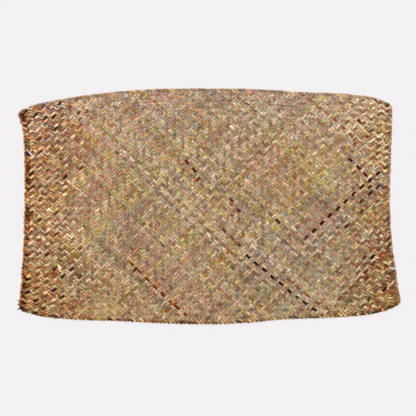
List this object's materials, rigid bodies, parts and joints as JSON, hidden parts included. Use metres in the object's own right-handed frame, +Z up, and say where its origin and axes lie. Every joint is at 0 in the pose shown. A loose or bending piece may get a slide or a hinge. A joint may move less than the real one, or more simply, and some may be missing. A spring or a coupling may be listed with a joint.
{
  "type": "seagrass mat",
  "caption": "Flat oblong mat plaited on the bias from flat seagrass strips, with folded sides, slightly bowed long sides and drawn-in ends.",
  "frame": {"origin": "under the middle of the mat's box, on the surface that it lies on", "axes": "+X along the mat's length, +Y along its width, +Z up out of its face"},
  "size_m": [0.7488, 0.4608, 0.0036],
  "materials": {
    "seagrass": "dried flat plant strips with a dull satin sheen, tan with green, yellow and red-brown strips"
  },
  "bodies": {
    "root": {"mat": "seagrass"}
  },
  "joints": []
}
